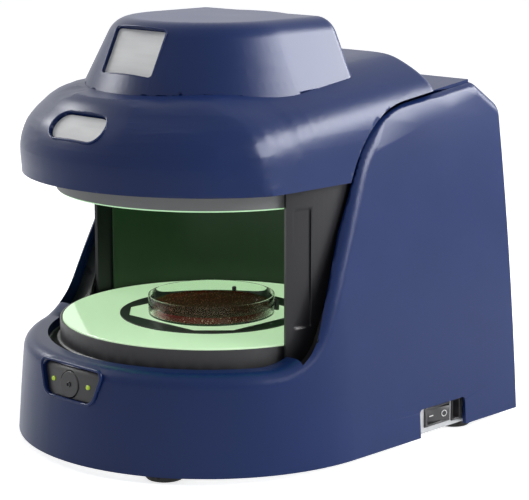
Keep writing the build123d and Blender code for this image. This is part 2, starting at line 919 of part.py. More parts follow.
with BuildPart() as lens_barrel:
    with BuildSketch(section):
        with BuildLine():
            Polyline(
                (lens_radius, barrel_bottom),
                (barrel_radius, barrel_bottom),
                (barrel_radius, bracket_top - 10),
                (barrel_radius - 3, bracket_top - 8),
                (barrel_radius - 3, bracket_top - 2),
                (barrel_radius / 2, bracket_top - 2),
                (barrel_radius / 2, barrel_bottom + 10),
                (lens_radius - 2, barrel_bottom + 8),
                (lens_radius - 2, barrel_bottom + 5),
                (lens_radius, barrel_bottom + 5),
                close=True,
            )
        make_face()
    revolve(axis=chamber_axis)
save(lens_barrel, "lens_barrel")

with BuildPart() as lens_glass:
    with BuildSketch(level(barrel_bottom + 2)):
        Circle(lens_radius)
    extrude(amount=3)
save(lens_glass, "lens_glass")

with BuildPart() as camera_body:
    with BuildSketch(level(bracket_top)):
        RectangleRounded(camera_size, camera_size, 4)
    extrude(amount=camera_height)
    chamfer(camera_body.edges().group_by(Axis.Z)[-1], 1.0)
save(camera_body, "camera_body")

# ------------------------------------------------------------------ spine frame and control board
spine_y = drum_opening + 2.4 + 0.5
spine_half = 70.0
sheet = 2.0
spine_foot = 24.0
spine_leaf_start = 40.0
gusset_height = 50.0
board_width = 110.0
board_height = 80.0
board_centre = 80.0
standoff = 8.0
standoff_radius = 3.0

with BuildPart() as spine_frame:
    with BuildSketch(side):
        with BuildLine():
            Polyline(
                (spine_y, plate_top),
                (spine_y + spine_foot, plate_top),
                (spine_y + spine_foot, plate_top + sheet),
                (spine_y + sheet, plate_top + sheet),
                (spine_y + sheet, ceiling_top + sheet),
                (spine_leaf_start, ceiling_top + sheet),
                (spine_leaf_start, ceiling_top),
                (spine_y, ceiling_top),
                close=True,
            )
        make_face()
    extrude(amount=spine_half, both=True)
    for hand in (-1, 1):
        with BuildSketch(side.offset(hand * (spine_half - sheet / 2))):
            with BuildLine():
                Polyline(
                    (spine_y + sheet, plate_top + sheet),
                    (spine_y + spine_foot, plate_top + sheet),
                    (spine_y + sheet, plate_top + gusset_height),
                    close=True,
                )
            make_face()
        extrude(amount=sheet / 2, both=True)
save(spine_frame, "spine_frame")

board_plane = Plane(origin=(0, chamber_y + spine_y + sheet, board_centre), x_dir=(1, 0, 0), z_dir=(0, 1, 0))
with BuildPart() as board_standoffs:
    with BuildSketch(board_plane):
        with GridLocations(board_width - 10, board_height - 10, 2, 2):
            Circle(standoff_radius)
    extrude(amount=standoff)
save(board_standoffs, "board_standoffs")

with BuildPart() as control_board:
    with BuildSketch(board_plane.offset(standoff)):
        RectangleRounded(board_width, board_height, 3)
        with GridLocations(board_width - 10, board_height - 10, 2, 2):
            Circle(1.6, mode=Mode.SUBTRACT)
    extrude(amount=board_thickness)
    with BuildSketch(board_plane.offset(standoff + board_thickness)):
        with Locations((-18, 8)):
            Rectangle(22, 22)
        with Locations((22, 20), (22, -6)):
            Rectangle(14, 10)
        with Locations((-30, -28)):
            Rectangle(26, 8)
    extrude(amount=5)
save(control_board, "control_board")

# ------------------------------------------------------------------ deck panel behind the hood
deck_half = 105.4
deck_tongue_half = 96.0
deck_front = 113.0
deck_back = deck_rear - 0.5
deck_proud = 2.0
deck_tongue = 3.0
deck_drop = 2.0


def top_line(y, shift):
    """Height of the rising top edge at y."""
    foot, corner, top = front_edge(0)
    return corner[1] + (y - corner[0]) * tan(radians(crest_rise)) + shift


def deck_slab(half, start, end, lower, upper):
    """Slab that follows the rising top edge."""
    with BuildPart() as slab:
        with BuildSketch(side):
            with BuildLine():
                Polyline(
                    (start, top_line(start, lower)),
                    (end, top_line(end, lower)),
                    (end, top_line(end, upper)),
                    (start, top_line(start, upper)),
                    close=True,
                )
            make_face()
        extrude(amount=half, both=True)
    return slab.part


with BuildPart() as deck_panel:
    add(deck_slab(deck_half, deck_front, deck_back, -wall, deck_proud))
    add(deck_slab(deck_tongue_half, deck_front, deck_back + deck_tongue, -wall - deck_drop - 2, -wall - deck_drop))
    add(deck_slab(deck_tongue_half, deck_front, deck_back, -wall - deck_drop, -wall))
save(deck_panel, "deck_panel")

# ------------------------------------------------------------------ control panel
fascia_sunk = 1.2
board_back = -12.0
board_half = 26.0
board_rise = 16.0
post_radius = 2.4
post_offset = 22.5
flange_drop = 6.3
stem_radius = 1.8

fascia_front = housing_block(fascia_sunk, housing_floor, rim_round - fascia_sunk)
fascia_seat = housing_block(wall + seat, housing_floor, rim_round - wall - seat)
fascia_inset = wall + seat + fascia_thickness
fascia_back = housing_block(fascia_inset, housing_floor, rim_round - fascia_inset)

with BuildPart() as fascia_posts:
    with BuildSketch(panel_plane.offset(board_back + board_thickness)):
        with Locations((-post_offset, 3), (post_offset, 3)):
            Circle(post_radius)
    extrude(amount=-board_back - 6)



def common(volume, prism):
    """Overlap of two volumes."""
    with BuildPart() as overlap:
        add(volume)
        add(prism, mode=Mode.INTERSECT)
    return overlap.part


with BuildPart() as control_fascia:
    add(common(fascia_front, panel_prism(-seat)))
    add(common(fascia_seat, panel_prism(fascia_margin)))
    add(fascia_back, mode=Mode.SUBTRACT)
    add(fascia_posts.part)
    with BuildSketch(panel_plane.offset(board_back)):
        with Locations((0, button_height)):
            Circle(button_radius + button_gap)
        with Locations((-led_offset, led_height), (led_offset, led_height)):
            Circle(led_radius + 0.15)
    extrude(amount=30, mode=Mode.SUBTRACT)
save(control_fascia, "control_fascia")

with BuildPart() as start_button:
    with BuildSketch(panel_plane.offset(-flange_drop)):
        with Locations((0, button_height)):
            Circle(button_radius)
    extrude(amount=flange_drop + button_proud)
    crown = start_button.faces().sort_by(Axis.Y)[0]
    fillet(crown.edges(), 0.8)
    with BuildSketch(panel_plane.offset(-flange_drop - 1.2)):
        with Locations((0, button_height)):
            Circle(button_radius + 1.6)
    extrude(amount=1.2)
    with BuildSketch(panel_plane.offset(board_back + board_thickness + 0.3 + button_travel)):
        with Locations((0, button_height)):
            Circle(stem_radius)
    extrude(amount=2.4)
save(start_button, "start_button")

with BuildPart() as button_board:
    with BuildSketch(panel_plane.offset(board_back)):
        Rectangle(2 * board_half, board_rise)
    extrude(amount=board_thickness)
save(button_board, "button_board")

with BuildPart() as panel_leds:
    with BuildSketch(panel_plane.offset(board_back + board_thickness)):
        with Locations((-led_offset, led_height), (led_offset, led_height)):
            Circle(led_radius)
    extrude(amount=-board_back - board_thickness - 0.6)
save(panel_leds, "panel_leds")

# ------------------------------------------------------------------ power switch and inlet
bracket_bottom = plate_top
bracket_height = 25.0
bracket_front = 64.0
bracket_rear = 124.0
bracket_foot = 10.0
rocker_y = 93.5
rocker_z = 16.0
bezel_length = 27.0
bezel_height = 14.0
bezel_thickness = 1.4
switch_length = 25.0
switch_height = 12.6
switch_depth = 14.0
switch_wall = 1.0
rocker_length = 21.8
rocker_height = 9.8
rocker_pivot = 1.6          # behind the sheet's outer face
rocker_tilt = 8.0
trunnion_radius = 1.0
trunnion_fit = 0.05
trunnion_half = 5.7
inlet_y = 114.2
inlet_z = 16.0
inlet_width = 9.0
inlet_height = 16.0
inlet_depth = 20.0

bracket_face = Plane(origin=(bracket_x, chamber_y, 0), x_dir=(0, 1, 0), z_dir=(1, 0, 0))
with BuildPart() as switch_bracket:
    with BuildSketch(bracket_face):
        with Locations(((bracket_front + bracket_rear) / 2, bracket_bottom + bracket_height / 2)):
            Rectangle(bracket_rear - bracket_front, bracket_height)
        with Locations((rocker_y, rocker_z)):
            Rectangle(switch_length + 0.2, switch_height + 0.2, mode=Mode.SUBTRACT)
        with Locations((inlet_y, inlet_z)):
            Rectangle(inlet_width + 0.2, inlet_height + 0.2, mode=Mode.SUBTRACT)
    extrude(amount=-bracket_thickness)
save(switch_bracket, "switch_bracket")

rocker_slot = switch_length - 2 * switch_wall
rocker_room = switch_height - 2 * switch_wall
pivot_x = bracket_x - rocker_pivot
with BuildPart() as switch_housing:
    with BuildSketch(bracket_face):
        with Locations((rocker_y, rocker_z)):
            Rectangle(switch_length, switch_height)
    extrude(amount=-switch_depth)
    with BuildSketch(bracket_face):
        with Locations((rocker_y, rocker_z)):
            Rectangle(bezel_length, bezel_height)
    extrude(amount=bezel_thickness)
    chamfer(switch_housing.faces().sort_by(Axis.X)[-1].edges(), 0.5)
    with BuildSketch(bracket_face.offset(bezel_thickness)):
        with Locations((rocker_y, rocker_z)):
            Rectangle(rocker_slot, rocker_room)
    extrude(amount=-bezel_thickness - switch_depth + 4, mode=Mode.SUBTRACT)
    with BuildSketch(Plane(origin=(pivot_x, chamber_y + rocker_y, rocker_z))):
        Circle(trunnion_radius + trunnion_fit)
    extrude(amount=trunnion_half + 0.1, both=True, mode=Mode.SUBTRACT)
    with BuildSketch(bracket_face.offset(-switch_depth)):
        with Locations((rocker_y - 7, rocker_z), (rocker_y + 7, rocker_z)):
            Rectangle(4.8, 0.8)
    extrude(amount=-7)
save(switch_housing, "switch_housing")

rocker_plane = Plane(origin=(pivot_x, chamber_y + rocker_y, rocker_z)).rotated((0, 0, -rocker_tilt))
with BuildPart() as power_rocker:
    with BuildSketch(rocker_plane):
        with BuildLine():
            half = rocker_length / 2
            Polyline(
                (-2.4, -half + 0.4),
                (rocker_pivot + 1.6, -half),
                (rocker_pivot + 0.4, 0),
                (rocker_pivot + 1.6, half),
                (-2.4, half - 0.4),
                (-4.0, 0),
                close=True,
            )
        make_face()
    extrude(amount=rocker_height / 2, both=True)
    with BuildSketch(rocker_plane):
        Circle(trunnion_radius)
    extrude(amount=trunnion_half, both=True)
save(power_rocker, "power_rocker")

with BuildPart() as power_inlet:
    with BuildSketch(bracket_face.offset(1.0)):
        with Locations((inlet_y, inlet_z)):
            Rectangle(inlet_width, inlet_height)
    extrude(amount=-inlet_depth)
    with BuildSketch(bracket_face.offset(1.0)):
        with Locations((inlet_y, inlet_z)):
            Rectangle(inlet_width - 2.4, inlet_height - 3.6)
    extrude(amount=-inlet_depth + 8, mode=Mode.SUBTRACT)
save(power_inlet, "power_inlet")

with BuildPart() as inlet_contacts:
    with BuildSketch(bracket_face.offset(9.0 - inlet_depth)):
        with Locations((inlet_y, inlet_z - 3), (inlet_y, inlet_z + 3)):
            Rectangle(1.0, 2.0)
    extrude(amount=8)
save(inlet_contacts, "inlet_contacts")
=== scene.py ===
"""Benchtop colony counter: a navy moulded housing, a lit stage under a hood, two curved sliding doors."""
import math

import bpy
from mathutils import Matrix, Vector
from mathutils.kdtree import KDTree


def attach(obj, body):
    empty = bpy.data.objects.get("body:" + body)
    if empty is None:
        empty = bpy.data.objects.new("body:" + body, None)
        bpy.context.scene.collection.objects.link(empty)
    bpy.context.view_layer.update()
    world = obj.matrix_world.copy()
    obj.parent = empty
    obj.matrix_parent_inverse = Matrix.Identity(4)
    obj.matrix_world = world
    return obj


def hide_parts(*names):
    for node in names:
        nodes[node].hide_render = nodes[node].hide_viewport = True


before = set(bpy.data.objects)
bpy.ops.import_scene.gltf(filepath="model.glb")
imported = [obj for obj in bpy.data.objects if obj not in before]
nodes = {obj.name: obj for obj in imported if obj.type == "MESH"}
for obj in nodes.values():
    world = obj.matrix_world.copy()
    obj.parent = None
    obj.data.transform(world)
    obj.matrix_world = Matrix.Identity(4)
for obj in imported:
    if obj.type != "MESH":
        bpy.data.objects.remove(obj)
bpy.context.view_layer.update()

# ---------------------------------------------------------------- camera
# A long lens a little above the instrument, off its right front corner. Its focal length is
# given in pixels, for a frame 529 wide.
frame_width = 529
focal_pixels = 1968
sensor_width = 36.0
camera_place = Vector((0.9796, -0.9720, 0.4085))
camera_aim = Vector((-0.6835, 0.7020, -0.2002))
camera_data = bpy.data.cameras.new("camera")
camera_data.sensor_width = sensor_width
camera_data.lens = focal_pixels * sensor_width / frame_width
camera = bpy.data.objects.new("camera", camera_data)
bpy.context.scene.collection.objects.link(camera)
camera.location = camera_place
camera.rotation_mode = "QUATERNION"
camera.rotation_quaternion = camera_aim.to_track_quat("-Z", "Y")
bpy.context.scene.camera = camera
bpy.context.scene.view_settings.view_transform = "Standard"

# ---------------------------------------------------------------- studio
# A white sweep and a white room, with a broad soft box high to the right rear and a smaller one
# to the left front. Each box has a twin that only shows in gloss.
room_tint, room_strength = (0.93, 0.96, 1.0, 1), 0.36
sweep_tint, sweep_strength = (0.82, 0.82, 0.82, 1), 0.72
sweep_size = 14
right_side = (0.65, 0.585, 0.485)
left_side = (-0.80, -0.30, 0.52)
instrument_centre = Vector((0, 0, 0.15))


def seen_in_picture(tree):
    """1 for what shows directly, through glass or in a reflection, and 0 for what only lights."""
    path = tree.nodes.new("ShaderNodeLightPath")
    direct = tree.nodes.new("ShaderNodeMath")
    direct.operation = "MAXIMUM"
    mirrored = tree.nodes.new("ShaderNodeMath")
    mirrored.operation = "MAXIMUM"
    tree.links.new(path.outputs["Is Camera Ray"], direct.inputs[0])
    tree.links.new(path.outputs["Is Transmission Ray"], direct.inputs[1])
    tree.links.new(direct.outputs[0], mirrored.inputs[0])
    tree.links.new(path.outputs["Is Glossy Ray"], mirrored.inputs[1])
    return mirrored.outputs[0]


def soft_box(name, direction, distance, width, height, watts):
    """Area lamp that faces the instrument."""
    data = bpy.data.lights.new(name, "AREA")
    data.shape = "RECTANGLE"
    data.size = width
    data.size_y = height
    data.energy = watts
    lamp = bpy.data.objects.new(name, data)
    bpy.context.scene.collection.objects.link(lamp)
    away = Vector(direction).normalized()
    lamp.location = instrument_centre + away * distance
    lamp.rotation_mode = "QUATERNION"
    lamp.rotation_quaternion = (-away).to_track_quat("-Z", "Y")
    return lamp


room = bpy.data.worlds.new("room")
bpy.context.scene.world = room
room.use_nodes = True
room_nodes, room_links = room.node_tree.nodes, room.node_tree.links
room_nodes.clear()
room_out = room_nodes.new("ShaderNodeOutputWorld")
room_mix = room_nodes.new("ShaderNodeMixShader")
room_fill = room_nodes.new("ShaderNodeBackground")
room_white = room_nodes.new("ShaderNodeBackground")
room_fill.inputs["Color"].default_value = room_tint
room_fill.inputs["Strength"].default_value = room_strength
room_white.inputs["Color"].default_value = (1, 1, 1, 1)
room_links.new(seen_in_picture(room.node_tree), room_mix.inputs[0])
room_links.new(room_fill.outputs[0], room_mix.inputs[1])
room_links.new(room_white.outputs[0], room_mix.inputs[2])
room_links.new(room_mix.outputs[0], room_out.inputs["Surface"])

soft_box("right_box", right_side, distance=1.6, width=2.2, height=0.75, watts=34)
right_shine = soft_box("right_shine", right_side, distance=1.55, width=2.1, height=0.7, watts=62)
right_shine.visible_diffuse = False
soft_box("left_box", left_side, distance=1.6, width=0.9, height=0.45, watts=6)
left_shine = soft_box("left_shine", left_side, distance=1.55, width=0.85, height=0.4, watts=16)
left_shine.visible_diffuse = False

bpy.ops.object.select_all(action="DESELECT")
bpy.ops.mesh.primitive_plane_add(size=sweep_size)
floor = bpy.context.object
floor.name = "floor"
sweep_paint = bpy.data.materials.new("white_sweep")
sweep_paint.use_nodes = True
sweep_nodes, sweep_links = sweep_paint.node_tree.nodes, sweep_paint.node_tree.links
sweep_nodes.clear()
sweep_out = sweep_nodes.new("ShaderNodeOutputMaterial")
sweep_diffuse = sweep_nodes.new("ShaderNodeBsdfDiffuse")
sweep_glow = sweep_nodes.new("ShaderNodeEmission")
sweep_sum = sweep_nodes.new("ShaderNodeAddShader")
sweep_level = sweep_nodes.new("ShaderNodeMath")
sweep_level.operation = "MULTIPLY"
sweep_level.inputs[1].default_value = sweep_strength
sweep_diffuse.inputs["Color"].default_value = sweep_tint
sweep_links.new(seen_in_picture(sweep_paint.node_tree), sweep_level.inputs[0])
sweep_links.new(sweep_level.outputs[0], sweep_glow.inputs["Strength"])
sweep_links.new(sweep_diffuse.outputs[0], sweep_sum.inputs[0])
sweep_links.new(sweep_glow.outputs[0], sweep_sum.inputs[1])
sweep_links.new(sweep_sum.outputs[0], sweep_out.inputs["Surface"])
floor.data.materials.append(sweep_paint)

# ---------------------------------------------------------------- housing
# One large shell, injection moulded in navy plastic with a fine satin grain. Bosses inside it
# take the screws of the base plate.
navy = (0.007, 0.022, 0.102)
chamber_y = -0.020


def grained(name, colour, roughness, grain=0.02, grain_scale=1400, mottle=0.12, specular=0.5):
    """Moulded surface: a fine grain in the relief, and faint clouds in its colour and gloss."""
    paint = bpy.data.materials.new(name)
    paint.use_nodes = True
    tree, links = paint.node_tree.nodes, paint.node_tree.links
    shader = tree["Principled BSDF"]
    shader.inputs["Specular IOR Level"].default_value = specular
    place = tree.new("ShaderNodeTexCoord")
    cloud = tree.new("ShaderNodeTexNoise")
    cloud.inputs["Scale"].default_value = 22
    cloud.inputs["Detail"].default_value = 3
    tone = tree.new("ShaderNodeMix")
    tone.data_type = "RGBA"
    tone.inputs["A"].default_value = tuple(c * (1 - mottle) for c in colour) + (1,)
    tone.inputs["B"].default_value = tuple(min(1, c * (1 + mottle)) for c in colour) + (1,)
    gloss = tree.new("ShaderNodeMapRange")
    gloss.inputs["To Min"].default_value = roughness * 0.92
    gloss.inputs["To Max"].default_value = roughness * 1.1
    fine = tree.new("ShaderNodeTexNoise")
    fine.inputs["Scale"].default_value = grain_scale
    fine.inputs["Detail"].default_value = 2
    relief = tree.new("ShaderNodeBump")
    relief.inputs["Strength"].default_value = grain
    relief.inputs["Distance"].default_value = 0.0004
    links.new(place.outputs["Object"], cloud.inputs["Vector"])
    links.new(place.outputs["Object"], fine.inputs["Vector"])
    links.new(cloud.outputs["Fac"], tone.inputs["Factor"])
    links.new(tone.outputs["Result"], shader.inputs["Base Color"])
    links.new(cloud.outputs["Fac"], gloss.inputs["Value"])
    links.new(gloss.outputs["Result"], shader.inputs["Roughness"])
    links.new(fine.outputs["Fac"], relief.inputs["Height"])
    links.new(relief.outputs["Normal"], shader.inputs["Normal"])
    return paint


def even_shading(piece, crease, lead=90):
    """Shades smooth across all but sharp edges, with the broad faces leading."""
    bpy.ops.object.shade_smooth_by_angle(angle=math.radians(crease))
    level = piece.modifiers.new("even_normals", "WEIGHTED_NORMAL")
    level.keep_sharp = True
    level.weight = lead
    bpy.ops.object.modifier_apply(modifier=level.name)


def smoothed(node, name, body, paint, crease=40, cuts=()):
    """Merged copy of a moulded part with its curves shaded smooth; it stands for that part.

    Each cut is a point and a normal. The mesh is sliced there, which keeps the shading at an
    edge beside that edge."""
    bpy.ops.object.select_all(action="DESELECT")
    piece = bpy.data.objects.new(name, nodes[node].data.copy())
    bpy.context.scene.collection.objects.link(piece)
    piece.select_set(True)
    bpy.context.view_layer.objects.active = piece
    bpy.ops.object.mode_set(mode="EDIT")
    bpy.ops.mesh.select_all(action="SELECT")
    bpy.ops.mesh.remove_doubles(threshold=0.00001)
    for point, normal in cuts:
        bpy.ops.mesh.select_all(action="SELECT")
        bpy.ops.mesh.bisect(plane_co=point, plane_no=normal)
    bpy.ops.object.mode_set(mode="OBJECT")
    even_shading(piece, crease)
    piece.data.materials.clear()
    piece.data.materials.append(paint)
    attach(piece, body)
    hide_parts(node)
    return piece


def level_cuts(heights):
    """Cuts at these heights, in millimetres."""
    return [((0, 0, height / 1000), (0, 0, 1)) for height in heights]


def paired_cuts(centre, normal, half_gap):
    """Two parallel cuts on either side of a centre."""
    return [(centre + normal * side * half_gap, normal) for side in (-1, 1)]


navy_plastic = grained("navy_plastic", navy, 0.32, grain=0.04, specular=0.2)
smoothed("body_shell", "housing_shell", "housing", navy_plastic, crease=30)

# ---------------------------------------------------------------- base plate and feet
# A flat steel sheet with vent slots closes the housing from below, held by zinc plated screws.
# Four round moulded rubber feet stand under it.
sheet_colour = (0.50, 0.51, 0.52)
zinc_colour = (0.66, 0.66, 0.64)
rubber_colour = (0.02, 0.02, 0.02)


def brushed(name, colour, roughness, along=(1, 1, 1), metallic=1.0, specular=0.5):
    """Sheet or turned metal with fine streaks; `along` stretches them one way."""
    paint = bpy.data.materials.new(name)
    paint.use_nodes = True
    tree, links = paint.node_tree.nodes, paint.node_tree.links
    shader = tree["Principled BSDF"]
    shader.inputs["Metallic"].default_value = metallic
    shader.inputs["Anisotropic"].default_value = 0.5
    shader.inputs["Specular IOR Level"].default_value = specular
    place = tree.new("ShaderNodeTexCoord")
    stretch = tree.new("ShaderNodeMapping")
    stretch.inputs["Scale"].default_value = along
    streak = tree.new("ShaderNodeTexNoise")
    streak.inputs["Scale"].default_value = 260
    streak.inputs["Detail"].default_value = 4
    tone = tree.new("ShaderNodeMix")
    tone.data_type = "RGBA"
    tone.inputs["A"].default_value = tuple(c * 0.74 for c in colour) + (1,)
    tone.inputs["B"].default_value = tuple(min(1, c * 1.1) for c in colour) + (1,)
    gloss = tree.new("ShaderNodeMapRange")
    gloss.inputs["To Min"].default_value = roughness * 0.8
    gloss.inputs["To Max"].default_value = roughness * 1.25
    relief = tree.new("ShaderNodeBump")
    relief.inputs["Strength"].default_value = 0.08
    relief.inputs["Distance"].default_value = 0.0003
    links.new(place.outputs["Object"], stretch.inputs["Vector"])
    links.new(stretch.outputs["Vector"], streak.inputs["Vector"])
    links.new(streak.outputs["Fac"], tone.inputs["Factor"])
    links.new(tone.outputs["Result"], shader.inputs["Base Color"])
    links.new(streak.outputs["Fac"], gloss.inputs["Value"])
    links.new(gloss.outputs["Result"], shader.inputs["Roughness"])
    links.new(streak.outputs["Fac"], relief.inputs["Height"])
    links.new(relief.outputs["Normal"], shader.inputs["Normal"])
    return paint


def clothe(node, paint):
    """Gives a carried-over part its finish."""
    part = nodes[node]
    part.data.materials.clear()
    part.data.materials.append(paint)


sheet_steel = brushed("sheet_steel", sheet_colour, 0.40, metallic=0.8)
zinc = brushed("zinc", zinc_colour, 0.3)
rubber = grained("rubber", rubber_colour, 0.75, grain=0.15)
clothe("base_plate", sheet_steel)
clothe("base_screws", zinc)
smoothed("feet", "rubber_feet", "housing", rubber)

# ---------------------------------------------------------------- stage
# A black moulded pot carries the stage, with the doors' rail round it, the mask that frames the
# dish, and three stops that centre it.
black = (0.016, 0.016, 0.019)
black_plastic = grained("black_plastic", black, 0.42, grain=0.08)
smoothed("stage_drum", "stage_pot", "housing", black_plastic)
smoothed("door_track", "door_rail", "housing", black_plastic)
smoothed("dish_pins", "dish_stops", "housing", black_plastic)
smoothed("mask_ring", "stage_mask", "housing", black_plastic)

# ---------------------------------------------------------------- stage light
# A round circuit board with green lamps lies in the pot, under a polished disc of opal plastic
# that they light from below.
# The disc's pale green colour and its glow are painted light, standing for the green lamps' light coming
# through the opal.
opal_painted_glow_colour, opal_glow, opal_strength = (0.46, 0.58, 0.43), (0.42, 0.58, 0.37, 1), 0.92
lamp_colour, lamp_glow, lamp_strength = (0.35, 0.5, 0.05), (0.45, 0.60, 0.04, 1), 0.35
circuit_colour = (0.02, 0.12, 0.05)


def glowing(name, colour, glow, strength, roughness=0.35):
    """Opal or coloured plastic lit from behind."""
    paint = grained(name, colour, roughness, grain=0.02, mottle=0.03)
    shader = paint.node_tree.nodes["Principled BSDF"]
    shader.inputs["Emission Color"].default_value = glow
    shader.inputs["Emission Strength"].default_value = strength
    return paint


opal = glowing("opal_disc", opal_painted_glow_colour, opal_glow, opal_strength, roughness=0.08)
green_led = glowing("green_led", lamp_colour, lamp_glow, lamp_strength)
circuit_green = grained("circuit_green", circuit_colour, 0.4)
smoothed("diffuser_disc", "stage_disc", "housing", opal)
clothe("stage_leds", green_led)
clothe("stage_light_board", circuit_green)

# ---------------------------------------------------------------- dish
# A 90 mm culture dish in clear polystyrene, moulded in one piece with a thin wall and floor. It
# lies loose between the stops.
dish_radius, dish_low, dish_high = 0.045, 0.0848, 0.0982
dish_wall, dish_floor, dish_edge = 0.0011, 0.0012, 0.0004
dish_tint, dish_ior = (0.96, 0.99, 0.96), 1.18
round_steps = 128
upward = 0.9


def new_disc(name, radius, low, high):
    """Upright round blank on the chamber's axis, left in edit mode with its top face selected."""
    bpy.ops.object.select_all(action="DESELECT")
    bpy.ops.mesh.primitive_cylinder_add(
        vertices=round_steps, radius=radius, depth=high - low, location=(0, chamber_y, (high + low) / 2)
    )
    piece = bpy.context.object
    piece.name = name
    bpy.ops.object.transform_apply(location=True, rotation=True, scale=True)
    for part in list(piece.data.vertices) + list(piece.data.edges):
        part.select = False
    for face in piece.data.polygons:
        face.select = face.normal.z > upward
    bpy.ops.object.mode_set(mode="EDIT")
    bpy.ops.mesh.select_mode(type="FACE")
    return piece


def stand_for(piece, node, body, paint):
    """Gives a modelled piece its finish and puts it in the place of one part."""
    piece.data.materials.append(paint)
    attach(piece, body)
    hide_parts(node)


clear = grained("clear_polystyrene", dish_tint, 0.03, grain=0.01, grain_scale=300, mottle=0.015)
clear_shader = clear.node_tree.nodes["Principled BSDF"]
clear_shader.inputs["Transmission Weight"].default_value = 1.0
clear_shader.inputs["IOR"].default_value = dish_ior
culture_dish = new_disc("culture_dish", dish_radius, dish_low, dish_high)
bpy.ops.mesh.inset(thickness=dish_wall)
hollow = (0, 0, dish_low + dish_floor - dish_high)
bpy.ops.mesh.extrude_region_move(TRANSFORM_OT_translate={"value": hollow})
bpy.ops.object.mode_set(mode="OBJECT")
soften = culture_dish.modifiers.new("moulded_edges", "BEVEL")
soften.width = dish_edge
soften.segments = 2
soften.limit_method = "ANGLE"
bpy.ops.object.modifier_apply(modifier=soften.name)
bpy.ops.object.shade_smooth_by_angle(angle=math.radians(35))
stand_for(culture_dish, "petri_dish", "dish", clear)

# ---------------------------------------------------------------- agar
# Blood agar poured into the dish and set: dark red jelly with a low rim against the wall and
# pale pinpoint colonies over it.
agar_low, agar_high = 0.0861, 0.0905
jelly_red, colony_pale = (0.10, 0.008, 0.006), (0.45, 0.25, 0.17, 1)
agar_gap, agar_rim, agar_sink = 0.0003, 0.0008, 0.0005
colony_scale, colony_inner, colony_outer = 520, 0.16, 0.24
agar_red = grained("agar_red", jelly_red, 0.22, grain=0.35, grain_scale=420, mottle=0.6)
agar_nodes, agar_links = agar_red.node_tree.nodes, agar_red.node_tree.links
agar_shader = agar_nodes["Principled BSDF"]
jelly_colour = agar_shader.inputs["Base Color"].links[0].from_socket
colonies = agar_nodes.new("ShaderNodeTexVoronoi")
colonies.inputs["Scale"].default_value = colony_scale
dots = agar_nodes.new("ShaderNodeMapRange")
dots.inputs["From Min"].default_value = colony_inner
dots.inputs["From Max"].default_value = colony_outer
dots.inputs["To Min"].default_value = 1.0
dots.inputs["To Max"].default_value = 0.0
spotted = agar_nodes.new("ShaderNodeMix")
spotted.data_type = "RGBA"
spotted.inputs["B"].default_value = colony_pale
agar_place = agar_nodes.new("ShaderNodeTexCoord")
agar_links.new(agar_place.outputs["Object"], colonies.inputs["Vector"])
agar_links.new(colonies.outputs["Distance"], dots.inputs["Value"])
agar_links.new(dots.outputs["Result"], spotted.inputs["Factor"])
agar_links.new(jelly_colour, spotted.inputs["A"])
agar_links.new(spotted.outputs["Result"], agar_shader.inputs["Base Color"])
culture_bed = new_disc("culture_bed", dish_radius - dish_wall - agar_gap, agar_low, agar_high)
bpy.ops.mesh.inset(thickness=agar_rim)
bpy.ops.transform.translate(value=(0, 0, -agar_sink))
bpy.ops.object.mode_set(mode="OBJECT")
bpy.ops.object.shade_smooth_by_angle(angle=math.radians(40))
stand_for(culture_bed, "agar", "dish", agar_red)

# ---------------------------------------------------------------- chamber
# The round screen behind the stage is glossy black plastic; its colour is painted dark green, a painted
# glow of the lamps' green light on it. The two linings are curved strips behind the leaning edges of the
# side walls.
# Painted glow: black plastic given a dark green colour to stand for the lamps' light falling on it.
screen_painted_green_glow = (0.042, 0.070, 0.042)
screen_black_painted_glow = grained("screen_black_painted_glow", screen_painted_green_glow, 0.26, grain=0.01, specular=0.15)
smoothed("chamber_wall", "chamber_screen", "housing", screen_black_painted_glow)
smoothed("left_liner", "left_lining", "housing", black_plastic)
smoothed("right_liner", "right_lining", "housing", black_plastic)

# ---------------------------------------------------------------- doors
# Two curved leaves in black plastic slide in the rail round the stage. Each has an upright grip
# groove moulded near its leading edge.
door_turn = 6
door_heights = (66, 70, 94.5, 98, 120, 150, 174, 177.5, 189)
door_cuts = level_cuts(door_heights)
for turn in range(-90, 91, door_turn):
    swing = math.radians(turn)
    door_cuts.append(((0, chamber_y, 0), (math.cos(swing), math.sin(swing), 0)))
door_black = grained("door_black", black, 0.34, grain=0.03, specular=0.25)
smoothed("left_door", "left_door_leaf", "left_door", door_black, cuts=door_cuts)
smoothed("right_door", "right_door_leaf", "right_door", door_black, cuts=door_cuts)

# ---------------------------------------------------------------- frame and control board
# A bent steel spine with two gussets stands on the base plate behind the chamber, up to the
# ceiling. The control board hangs on its rear face on four turned standoffs.
clothe("spine_frame", sheet_steel)
clothe("board_standoffs", zinc)
clothe("control_board", circuit_green)

# ---------------------------------------------------------------- camera over the stage
# A small camera looks down through the ceiling. Its case and lens tube are black, its lens is
# clear, and a bent steel bracket stands it on the ceiling.
clothe("camera_bracket", sheet_steel)
smoothed("camera_body", "camera_case", "housing", black_plastic)
smoothed("lens_barrel", "lens_tube", "housing", black_plastic)
smoothed("lens_glass", "lens", "housing", clear)

